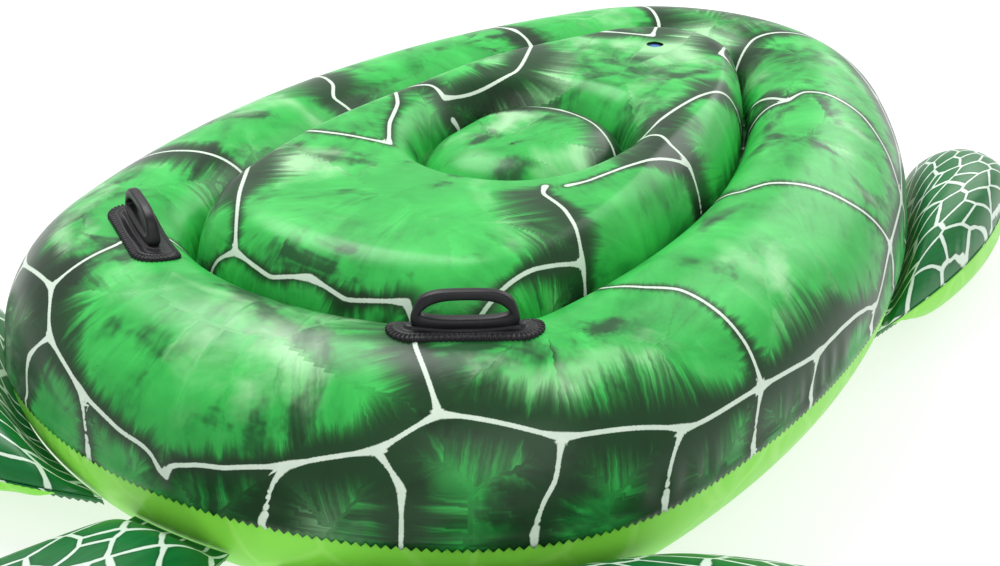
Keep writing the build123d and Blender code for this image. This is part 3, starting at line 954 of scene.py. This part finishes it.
@dataclass
class Shell:
    """The two welded sheets of the shell."""

    outline: Outline = field(default_factory=Outline)
    print_map: PrintMap = field(default_factory=PrintMap)
    teeth: int = 396
    tooth: float = 0.0048
    lap: float = 0.0055
    upper_spacing: float = 0.0042
    lower_spacing: float = 0.008
    lower_columns: int = 480

    def skirt(self, columns: int) -> np.ndarray:
        """The pinked edge of the printed sheet, which laps over the lower sheet."""
        base, inward, _ = self.outline.columns(columns)
        bite = np.where(np.arange(columns) % 2 == 0, 1.0, 0.0)
        rows = []
        for share in (1.0, 0.5):
            depth = share * (self.lap + self.tooth * bite)
            radius = LOWER.crest - LOWER.sheet
            inset = radius - np.sqrt(radius**2 - depth**2)
            plan = base + inward * (inset - 0.0012)[:, None]
            rows.append(np.column_stack([plan, SEAM_HEIGHT - depth]))
        return np.array(rows)

    def upper(self) -> bpy.types.Object:
        """The printed upper sheet, with its print attributes."""
        columns = 2 * self.teeth
        rings = np.array(SheetRings(UPPER, columns, self.upper_spacing).rows)
        rings[0, :, :2] -= self.outline.columns(columns)[1] * 0.0012
        rings = np.concatenate([self.skirt(columns), rings])
        points = rings.reshape(-1, 3)
        faces = ring_faces(len(rings), columns)
        piece = new_piece("shell_upper", points, faces, PRINT)
        self.cut_valve(piece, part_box("deck_valve_base"))
        self.cut_valve(piece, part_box("tube_valve_base"))
        self.draw_print(piece, rings[2])
        thicken(piece, SHELL_SHEET)
        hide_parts("shell_top_sheet")
        return piece

    @staticmethod
    def cut_valve(piece: bpy.types.Object, box: tuple) -> None:
        """Open the sheet for a valve's sleeve, and round the opening.

        Args:
            piece: The sheet.
            box: The box of the valve's base.
        """
        low, high = Vector(box[0]), Vector(box[1])
        made = bmesh.new()
        made.from_mesh(piece.data)
        middle = Vector(((low.x + high.x) / 2, (low.y + high.y) / 2, high.z - 0.004))
        near = min(made.verts, key=lambda v: (v.co - middle).length_squared)
        near.normal_update()
        normal, centre = near.normal.copy(), middle + near.normal * (near.co - middle).dot(near.normal)
        close = [f for f in made.faces if (f.calc_center_median() - centre).length < 0.0105]
        rim = {v for f in close for v in f.verts}
        bmesh.ops.delete(made, geom=close, context="FACES")
        for vert in (v for v in rim if v.is_valid and v.is_boundary):
            off = vert.co - centre
            flat = off - normal * off.dot(normal)
            vert.co += flat.normalized() * (0.0118 - flat.length)
        loose = [v for v in made.verts if not v.link_faces]
        bmesh.ops.delete(made, geom=loose, context="VERTS")
        made.to_mesh(piece.data)
        made.free()

    def draw_print(self, piece: bpy.types.Object, seam: np.ndarray) -> None:
        """Store each vertex's distance from the nearest pale line.

        Args:
            piece: The upper sheet.
            seam: The seam's points.
        """
        bpy.context.view_layer.update()
        tree = BVHTree.FromObject(piece, bpy.context.evaluated_depsgraph_get())
        samples, travelled, knots = [], [], []
        for index, (tick, line) in enumerate(self.print_map.lines()):
            placed = []
            for x, y in line:
                hit = tree.ray_cast(Vector((x, y, 1.0)), Vector((0, 0, -1)))[0]
                if hit is not None and hit.z > SEAM_HEIGHT:
                    placed.append(np.array(hit))
            if not placed:
                continue
            knots += [placed[0], placed[-1]]
            if tick:
                last = placed[-1]
                foot = seam[np.argmin(((seam - last) ** 2).sum(1))] - np.array([0, 0, 0.014])
                placed += [last + (foot - last) * share for share in np.linspace(0, 1, 30)]
            placed = np.array([tree.find_nearest(Vector(point))[0] for point in placed])
            lengths = np.concatenate([[0], np.cumsum(np.linalg.norm(np.diff(placed, axis=0), axis=1))])
            samples.append(placed)
            travelled.append(lengths + index * 3.7)
        samples, travelled = np.vstack(samples), np.concatenate(travelled)
        lines, ends = KDTree(len(samples)), KDTree(len(knots))
        for index, point in enumerate(samples):
            lines.insert(point, index)
        for index, point in enumerate(knots):
            ends.insert(point, index)
        lines.balance()
        ends.balance()
        gap, along, knot, offset = [], [], [], []
        for vert in piece.data.vertices:
            _, index, distance = lines.find(vert.co)
            gap.append(distance)
            offset.append(Vector(samples[index]) - vert.co)
            along.append(travelled[index])
            knot.append(ends.find(vert.co)[2])
        set_attribute(piece, "line_gap", np.array(gap))
        set_attribute(piece, "line_along", np.array(along))
        set_attribute(piece, "knot_gap", np.array(knot))
        layer = piece.data.attributes.new("line_offset", "FLOAT_VECTOR", "POINT")
        layer.data.foreach_set("vector", np.array(offset, np.float32).ravel())

    def lower(self) -> bpy.types.Object:
        """The plain lower sheet."""
        rings = np.array(SheetRings(LOWER, self.lower_columns, self.lower_spacing).rows)
        faces = [tuple(reversed(face)) for face in ring_faces(len(rings), self.lower_columns)]
        piece = new_piece("shell_lower", rings.reshape(-1, 3), faces, LIME)
        thicken(piece, SHELL_SHEET)
        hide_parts("shell_bottom_sheet")
        return piece

    def build(self) -> list[bpy.types.Object]:
        """Build both sheets and put them on their body."""
        pieces = [self.upper(), self.lower()]
        for piece in pieces:
            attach(piece, "shell")
        return pieces


# ---------------------------------------------------------------- flippers and head


class Side(Enum):
    """Which side of the turtle a piece is on."""

    LEFT = 1
    RIGHT = -1


@dataclass
class Limb:
    """An inflated pillow of two sheets welded all round."""

    name: str
    body: str
    side: Side
    root: tuple[float, float]
    lead: tuple
    trail: tuple
    tip: tuple
    rise: float
    lift: float
    lower_share: float = 0.86
    weld_depth: float = 0.060
    hinge_gap: float = 0.0009
    web: float = 0.026
    pucker: float = 0.0022
    tip_pucker: float = 0.0012
    rows: int = 96
    lanes: int = 65

    def __post_init__(self) -> None:
        """Keep the shell's outline and the wall's place at the root."""
        self.outline = Outline()
        self.wall_radius = LOWER.crest - LOWER.sheet

    def wall_inset(self, depth: float) -> float:
        """How far the lower sheet's wall lies inside the seam, at a depth below it."""
        return self.wall_radius - math.sqrt(self.wall_radius**2 - depth**2)

    def root_point(self, across: float) -> np.ndarray:
        """A point on the root, against the shell's wall."""
        low, high = self.root
        point, inward = self.outline.at(low + (high - low) * across)
        return point + inward * (self.wall_inset(self.weld_depth - 0.0045) - self.hinge_gap)

    @staticmethod
    def curve(points: np.ndarray, share: float) -> np.ndarray:
        """A point on a cubic curve."""
        rest = 1 - share
        weights = (rest**3, 3 * rest**2 * share, 3 * rest * share**2, share**3)
        return sum(point * weight for point, weight in zip(points, weights))

    def plan(self, out: float, across: float) -> np.ndarray:
        """A point of the plan, blended between its four edges.

        Args:
            out: 0 at the root, 1 at the tip.
            across: 0 on the leading edge, 1 on the trailing edge.

        Returns:
            The point in plan.
        """
        lead = np.array([self.root_point(0), *self.lead, self.tip[0]])
        trail = np.array([self.root_point(1), *self.trail, self.tip[3]])
        sides = self.curve(lead, out) * (1 - across) + self.curve(trail, out) * across
        ends = self.root_point(across) * (1 - out) + self.curve(np.array(self.tip), across) * out
        corners = (lead[0] * (1 - across) + trail[0] * across) * (1 - out)
        corners = corners + (lead[3] * (1 - across) + trail[3] * across) * out
        return sides + ends - corners

    def grid(self) -> tuple[np.ndarray, np.ndarray]:
        """The plan's points and the height of the pillow there.

        Returns:
            Arrays of rows and lanes: the plan, and the upper sheet's height over the weld.
        """
        outs = np.linspace(0, 1, self.rows) ** 1.15
        lanes = 0.5 - 0.5 * np.cos(np.linspace(0, math.pi, self.lanes))
        plan = np.array([[self.plan(out, across) for across in lanes] for out in outs])
        wall = np.array([self.root_point(share) for share in np.linspace(-0.15, 1.15, 90)])
        clear = np.sqrt(((plan[:, :, None, :] - wall[None, None]) ** 2).sum(-1)).min(-1)
        swell = 1 - np.exp(-((clear / self.web) ** 2))
        length = crown(2 * outs[:, None] ** 0.8 - 1, 0.0, 1.0, 2.2)
        height = self.rise * length * crown(2 * lanes[None] - 1, 0.0, 1.0, 2.6) * swell
        out, lane = outs[:, None] + 0 * lanes[None], lanes[None] + 0 * outs[:, None]
        weld = np.minimum(np.minimum(lane, 1 - lane) * 3.2, np.minimum(out, 1 - out) * 4)
        edge = np.clip(weld / 0.03, 0, 1)
        wave = ripple(out * 0.55, 0.030, self.rise * 40) * np.exp(-((weld / 0.16) ** 2))
        tip_wave = ripple(lane * 0.3, 0.034, 2.0) * np.exp(-(((1 - out) / 0.07) ** 2))
        return plan, height + (self.pucker * wave + self.tip_pucker * tip_wave) * edge

    def placed(self, plan: np.ndarray, height: np.ndarray) -> np.ndarray:
        """Set points at the limb's weld and lift its free end.

        Args:
            plan: Points in plan.
            height: Their heights over the limb's weld.

        Returns:
            The points in the frame.
        """
        middle, inward = self.outline.at(sum(self.root) / 2)
        start = middle + inward * self.wall_inset(self.weld_depth)
        points = np.column_stack([plan.reshape(-1, 2), height.reshape(-1) + SEAM_HEIGHT - self.weld_depth])
        centre = Vector((*start, SEAM_HEIGHT - self.weld_depth))
        axis = Vector((0, 0, 1)).cross(Vector((*inward, 0)))
        turn = np.array(Matrix.Rotation(math.radians(self.lift), 3, axis))
        made = (points - np.array(centre)) @ turn.T + np.array(centre)
        return made * np.array([self.side.value, 1, 1])

    def sheet(self, upper: bool) -> bpy.types.Object:
        """One sheet of the pillow.

        Args:
            upper: Whether it is the printed upper sheet.

        Returns:
            The piece.
        """
        plan, height = self.grid()
        rows, lanes = height.shape
        level = 0.0009 + height if upper else -0.0009 - height * self.lower_share
        points = self.placed(plan, level)
        faces = ring_faces(rows, lanes, closed=False)
        if upper == (self.side is Side.RIGHT):
            faces = [tuple(reversed(face)) for face in faces]
        extra_out, extra_across = np.zeros(0), np.zeros(0)
        if upper:
            points, faces, extra_out, extra_across = self.pink(plan, height, points, faces)
        finish, slot = (LIMB, Slot.LIMB_PRINT) if upper else (LIME, Slot.LIMB_LIME)
        piece = new_piece(f"{self.name}_{'upper' if upper else 'lower'}", points, faces, finish)
        if upper:
            length = np.linalg.norm(plan[-1, lanes // 2] - plan[0, lanes // 2])
            spans = np.linalg.norm(np.diff(plan, axis=1), axis=2)
            across = np.concatenate([np.zeros((rows, 1)), np.cumsum(spans, axis=1)], axis=1)
            across -= across[:, -1:] / 2
            out = np.linspace(0, 1, rows)[:, None] ** 1.15 * length + 0 * across
            set_attribute(piece, "limb_out", np.concatenate([out.ravel(), extra_out]))
            set_attribute(piece, "limb_across", np.concatenate([across.ravel(), extra_across]))
        bmesh_orient(piece, upper)
        return piece

    def pink(self, plan: np.ndarray, height: np.ndarray, points: np.ndarray, faces: list) -> tuple:
        """Add the pinked edge that laps over the lower sheet.

        Args:
            plan: The plan's grid.
            height: The heights over the weld.
            points: The sheet's points.
            faces: The sheet's faces.

        Returns:
            The points and faces with the edge, and the edge's print coordinates.
        """
        rows, lanes = height.shape
        rim = [(row, 0) for row in range(rows)] + [(rows - 1, lane) for lane in range(1, lanes)]
        rim += [(row, lanes - 1) for row in range(rows - 2, -1, -1)]
        middle = plan.mean(axis=(0, 1))
        path = np.array([plan[r, c] for r, c in rim])
        steps = np.concatenate([[0], np.cumsum(np.linalg.norm(np.diff(path, axis=0), axis=1))])
        count = int(steps[-1] / 0.0045)
        dense = np.linspace(0, steps[-1], count)
        edge = np.column_stack([np.interp(dense, steps, path[:, axis]) for axis in (0, 1)])
        tangent = np.gradient(edge, axis=0)
        normal = np.column_stack([-tangent[:, 1], tangent[:, 0]])
        normal /= np.linalg.norm(normal, axis=1)[:, None] + 1e-9
        flip = np.sign(((middle - edge) * normal).sum(1))
        normal *= np.where(flip == 0, 1, flip)[:, None]
        bite = np.where(np.arange(count) % 2 == 0, 1.0, 0.0)
        inner = edge - normal * 0.0006
        depth = 0.0035 + 0.0055 * bite
        rest = edge + normal * (depth * 0.55)[:, None]
        start = len(points)
        near = self.placed(inner, np.full(count, LIMB_SHEET))
        band = np.vstack([near, self.placed(rest, -0.0022 - depth * 0.85)])
        more = ring_faces(2, count, closed=False)
        more = [tuple(start + corner for corner in face) for face in more]
        return np.vstack([points, band]), faces + more, np.tile(dense, 2), np.repeat([0.5, 0.51], count)

    def build(self) -> list[bpy.types.Object]:
        """Build both sheets; each is lifted about its root."""
        nodes = {True: f"{self.body}_top", False: f"{self.body}_bottom"}
        middle, inward = self.outline.at(sum(self.root) / 2)
        start = middle + inward * self.wall_inset(self.weld_depth)
        flip = np.array([self.side.value, 1])
        pieces = []
        for upper in (True, False):
            piece = self.sheet(upper)
            thicken(piece, LIMB_SHEET)
            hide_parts(nodes[upper])
            height = SEAM_HEIGHT - self.weld_depth
            root, clear = start * flip, (start - inward * 0.10) * flip
            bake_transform(piece)
            pieces.append(piece)
        return pieces


def bmesh_orient(piece: bpy.types.Object, up: bool) -> None:
    """Make every face of a sheet look up, or down.

    Args:
        piece: The sheet.
        up: Which way the faces look.
    """
    made = bmesh.new()
    made.from_mesh(piece.data)
    made.normal_update()
    wrong = [f for f in made.faces if (f.normal.z > 0) != up]
    if len(wrong) > len(made.faces) / 2:
        bmesh.ops.reverse_faces(made, faces=list(made.faces))
    made.to_mesh(piece.data)
    made.free()


def shifted(*points: tuple[float, float]) -> tuple:
    """Plan points given from the shell's own centre."""
    return tuple(np.array([x, y + CENTRE_SHIFT]) for x, y in points)


@dataclass
class Limbs:
    """The four flippers and the head."""

    front: float = -0.672
    rear: float = 0.672

    def front_flipper(self, side: Side) -> Limb:
        """A front flipper, swept back to a narrow tip."""
        name = f"{side.name.lower()}_front_flipper"
        x, y = 0.850, self.front
        tip = shifted(
            (x - 0.006, y + 0.165), (x + 0.005, y + 0.195), (x - 0.005, y + 0.240), (x - 0.032, y + 0.255)
        )
        lead = shifted((x - 0.520, y - 0.070), (x - 0.130, y - 0.090))
        trail = shifted((x - 0.340, y + 0.285), (x - 0.150, y + 0.310))
        return Limb(name, name, side, (0.062, 0.245), lead, trail, tip, rise=0.056, lift=3.5)

    def rear_flipper(self, side: Side) -> Limb:
        """A rear flipper, a short paddle that points backwards."""
        name = f"{side.name.lower()}_rear_flipper"
        x, y = 0.452, self.rear
        tip = shifted(
            (x - 0.010, y - 0.165), (x - 0.005, y - 0.120), (x - 0.035, y - 0.085), (x - 0.075, y - 0.078)
        )
        lead = shifted((x + 0.005, y - 0.430), (x + 0.022, y - 0.290))
        trail = shifted((x - 0.150, y - 0.130), (x - 0.130, y - 0.085))
        return Limb(name, name, side, (0.57, 0.77), lead, trail, tip, rise=0.070, lift=7.0)

    def head(self) -> Limb:
        """The head and neck."""
        nose = self.front - 0.520
        tip = shifted(
            (0.060, nose + 0.022), (0.030, nose - 0.007), (-0.030, nose - 0.007), (-0.060, nose + 0.022)
        )
        lead = shifted((0.062, self.front - 0.130), (0.215, self.front - 0.370))
        trail = tuple(point * np.array([-1, 1]) for point in lead)
        return Limb("head", "head", Side.LEFT, (0.033, -0.033), lead, trail, tip, rise=0.044, lift=4.0)

    def build(self) -> list[bpy.types.Object]:
        """Build every limb."""
        limbs = [make(side) for make in (self.front_flipper, self.rear_flipper) for side in Side]
        return [piece for limb in (*limbs, self.head()) for piece in limb.build()]


# ---------------------------------------------------------------- handles


def square(value: float, power: float) -> float:
    """Square off a sine or cosine.

    Args:
        value: Between -1 and 1.
        power: Below 1; the smaller, the squarer.

    Returns:
        The squared-off value, with its sign.
    """
    return math.copysign(abs(value) ** power, value)


@dataclass
class Handle:
    """A moulded grab handle: a ribbed flange and an arched grip."""

    side: Side
    length: float = 0.150
    width: float = 0.052
    stand: float = 0.004
    teeth: int = 70
    foot: float = 0.112
    top: float = 0.084
    height: float = 0.0445
    bar: float = 0.010
    depth: float = 0.012
    turn: float = 34.0

    def seat(self) -> Matrix:
        """The handle's place: its middle on the flange's underside, its length along X."""
        low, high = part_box(f"{self.side.name.lower()}_handle_flange")
        middle = (Vector(low) + Vector(high)) / 2
        height = Vector(high).z - self.stand
        turned = Matrix.Rotation(math.radians(self.turn * self.side.value), 4, "Z")
        return Matrix.Translation((middle.x, middle.y, height)) @ turned

    def loop(self, inset: float, count: int) -> tuple[np.ndarray, np.ndarray]:
        """Points round the flange's stadium.

        Args:
            inset: How far inside the edge they lie.
            count: How many points.

        Returns:
            The points and the outward directions.
        """
        radius = self.width / 2
        straight = self.length - self.width
        bend = math.pi * radius
        total = 2 * bend + 2 * straight
        points, outward = [], []
        for place in range(count):
            along = total * place / count
            if along < straight:
                centre, angle = along - straight / 2, -math.pi / 2
            elif along < straight + bend:
                centre, angle = straight / 2, -math.pi / 2 + (along - straight) / radius
            elif along < 2 * straight + bend:
                centre, angle = straight / 2 - (along - straight - bend), math.pi / 2
            else:
                centre, angle = -straight / 2, math.pi / 2 + (along - 2 * straight - bend) / radius
            way = np.array([math.cos(angle), math.sin(angle)])
            points.append(np.array([centre, 0]) + way * (radius - inset))
            outward.append(way)
        return np.array(points), np.array(outward)

    def flange(self) -> bpy.types.Object:
        """The flange, ribbed and toothed all round."""
        count = self.teeth * 6
        phase = np.arange(count) * 2 * math.pi / 6
        rib = np.clip(0.5 + 0.9 * np.cos(phase), 0, 1)
        rings = []
        profile = [
            (0.0, -0.0004, 0.0), (0.0, 0.0008, 1.0), (0.0004, 0.0016, 1.0), (0.0012, 0.0021, 1.0),
            (0.0035, 0.0024, 1.0), (0.0068, 0.0026, 1.0), (0.0074, 0.0030, 0.4), (0.0082, 0.0040, 0.0),
            (0.0092, 0.0044, 0.0), (0.0112, 0.0042, 0.0), (0.0124, 0.0034, 0.0), (0.0150, 0.0033, 0.0),
            (0.0165, 0.0036, 0.0), (0.0176, 0.0058, 0.0), (0.0188, 0.0070, 0.0), (0.0215, 0.0074, 0.0),
            (0.0258, 0.0075, 0.0),
        ]
        for inset, height, ribbed in profile:
            plan, outward = self.loop(inset, count)
            if inset < 0.001:
                plan = plan - outward * (0.0011 * (1 - rib))[:, None]
            rings.append(np.column_stack([plan, height + ribbed * 0.0016 * rib]))
        points = self.laid(np.vstack(rings))
        faces = ring_faces(len(rings), count)
        piece = new_piece(f"{self.side.name.lower()}_flange_ribbed", points, faces, BLACK)
        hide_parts(f"{self.side.name.lower()}_handle_flange")
        return piece

    def laid(self, points: np.ndarray) -> np.ndarray:
        """Lay the flange's points on the tube.

        Args:
            points: Points over a flat seat.

        Returns:
            The points, lowered by the tube's fall under each of them.
        """
        sheet = bpy.data.objects["shell_upper"]
        tree = BVHTree.FromObject(sheet, bpy.context.evaluated_depsgraph_get())
        seat = self.seat()
        made = points.copy()
        for point in made:
            spot = seat @ Vector((point[0], point[1], 0))
            hit = tree.ray_cast(Vector((spot.x, spot.y, 1.0)), Vector((0, 0, -1)))[0]
            out = math.hypot(2 * point[0] / self.length, 2 * point[1] / self.width)
            share = min(1.0, max(0.0, (out - 0.35) / 0.35))
            point[2] += (hit.z + 0.0004 - spot.z) * share
        return made

    def grip(self) -> bpy.types.Object:
        """The arched grip with its oval finger gap and the lip under it."""
        count, around = 120, 20
        angles = np.linspace(0, 2 * math.pi, count, endpoint=False)
        rings = []
        for angle in angles:
            c, s = math.cos(angle), math.sin(angle)
            high = 0.5 + 0.5 * square(s, 0.55)
            half = (self.foot * (1 - high) + self.top * high) / 2
            outer = np.array([half * square(c, 0.55), self.stand + (self.height - self.stand) * high])
            gap_half = half - self.bar
            low_gap = self.stand + 0.012
            gap_rise = (self.height - self.bar - low_gap) * (0.5 + 0.5 * square(s, 0.8))
            inner = np.array([gap_half * square(c, 0.75), low_gap + gap_rise])
            middle, reach = (outer + inner) / 2, (outer - inner) / 2
            for turn in np.linspace(0, 2 * math.pi, around, endpoint=False):
                across, deep = square(math.cos(turn), 0.6), square(math.sin(turn), 0.6)
                place = middle + reach * across
                rings.append((place[0], self.depth / 2 * deep * (1.0 + 0.25 * (1 - high)), place[1]))
        points = np.array(rings)
        faces = []
        for ring in range(count):
            for part in range(around):
                a, b = ring * around, ((ring + 1) % count) * around
                faces.append((a + part, b + part, b + (part + 1) % around, a + (part + 1) % around))
        piece = new_piece(f"{self.side.name.lower()}_grip_arch", points, faces, BLACK)
        smooth = piece.modifiers.new("round", "SUBSURF")
        smooth.levels = smooth.render_levels = 1
        apply_modifiers(piece)
        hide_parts(f"{self.side.name.lower()}_handle_grip")
        return piece

    def build(self) -> list[bpy.types.Object]:
        """Build the handle and put each half on its body."""
        flange, grip = self.flange(), self.grip()
        for piece, body in ((flange, "shell"), (grip, f"{self.side.name.lower()}_grip")):
            piece.matrix_world = self.seat()
            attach(piece, body)
        return [flange, grip]


# ---------------------------------------------------------------- valves and inner bands


@dataclass
class KeptNodes:
    """The moulded valves and the inner bands, which keep their shapes and get their finishes."""

    valves: tuple[str, ...] = ("deck_valve", "tube_valve")
    clear_parts: tuple[str, ...] = ("base", "stem", "check_flap", "plug_tether")
    blue_parts: tuple[str, ...] = ("plug",)
    bands: tuple[str, ...] = ("outer_weld_band", "inner_weld_band")

    def dress(self, node: str, finish: Finish) -> bpy.types.Object:
        """Put a finish on a kept node.

        Args:
            node: The node's name.
            finish: Its finish.

        Returns:
            The node's object.
        """
        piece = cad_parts[node]
        for place in piece.material_slots:
            place.material = finish.material()
        return piece

    def build(self) -> list[bpy.types.Object]:
        """Dress every kept node."""
        pieces = []
        for valve in self.valves:
            for finish, parts in ((CLEAR, self.clear_parts), (BLUE, self.blue_parts)):
                pieces += [self.dress(f"{valve}_{part}", finish) for part in parts]
        return pieces + [self.dress(band, BAND) for band in self.bands]


# ---------------------------------------------------------------- studio


@dataclass
class Studio:
    """The floor, the lights and the camera."""

    target: tuple[float, float, float] = (-0.012, 0.136, 0.126)
    eye: tuple[float, float, float] = (0.954, -1.397, 1.009)
    lens: float = 61.3
    shift: tuple[float, float] = (0.0287, -0.0159)

    def floor(self) -> None:
        """A wide pale floor."""
        mesh = bpy.data.meshes.new("studio_floor")
        mesh.from_pydata([(-30, -30, 0), (30, -30, 0), (30, 30, 0), (-30, 30, 0)], [], [(0, 1, 2, 3)])
        mesh.materials.append(FLOOR.material())
        made = bpy.data.objects.new("studio_floor", mesh)
        bpy.context.scene.collection.objects.link(made)
        made.location.z = -0.001

    def light(self, name: str, place: tuple, size: float, watts: float) -> None:
        """A square soft light that faces the float.

        Args:
            name: The light's name.
            place: Where it hangs.
            size: The length of its side.
            watts: Its power.
        """
        lamp = bpy.data.lights.new(name, "AREA")
        lamp.shape, lamp.size, lamp.energy = "SQUARE", size, watts
        made = bpy.data.objects.new(name, lamp)
        made.location = place
        made.rotation_euler = (Vector(self.target) - Vector(place)).to_track_quat("-Z", "Y").to_euler()
        bpy.context.scene.collection.objects.link(made)

    def camera(self) -> None:
        """The camera at the float's front left quarter."""
        lens = bpy.data.cameras.new("camera")
        lens.lens, lens.sensor_width = self.lens, 36.0
        lens.shift_x, lens.shift_y = self.shift
        made = bpy.data.objects.new("camera", lens)
        made.location = self.eye
        way = Vector(self.target) - Vector(self.eye)
        made.rotation_euler = way.to_track_quat("-Z", "Y").to_euler()
        bpy.context.scene.collection.objects.link(made)
        bpy.context.scene.camera = made

    def build(self) -> None:
        """Build the studio."""
        self.camera()
        self.floor()
        self.light("key", (-1.6, 0.8, 3.0), 2.0, 95)
        self.light("fill", (2.2, -2.0, 2.2), 2.6, 38)
        self.light("rim", (0.5, 3.0, 1.8), 2.0, 30)
        world = bpy.data.worlds.new("studio")
        world.use_nodes = True
        world.node_tree.nodes["Background"].inputs["Color"].default_value = (1.0, 1.0, 1.0, 1.0)
        world.node_tree.nodes["Background"].inputs["Strength"].default_value = 0.62
        bpy.context.scene.world = world
        bpy.context.scene.view_settings.view_transform = "Standard"


def main() -> None:
    """Build the studio and every piece, and report each piece."""
    logging.basicConfig(level=logging.INFO, format="%(message)s")
    Studio().build()
    for part in (Shell(), Limbs(), Handle(Side.LEFT), Handle(Side.RIGHT), KeptNodes()):
        for piece in part.build():
            log.info("%s: %s has %d faces", type(part).__name__, piece.name, len(piece.data.polygons))


if __name__ == "__main__":
    main()
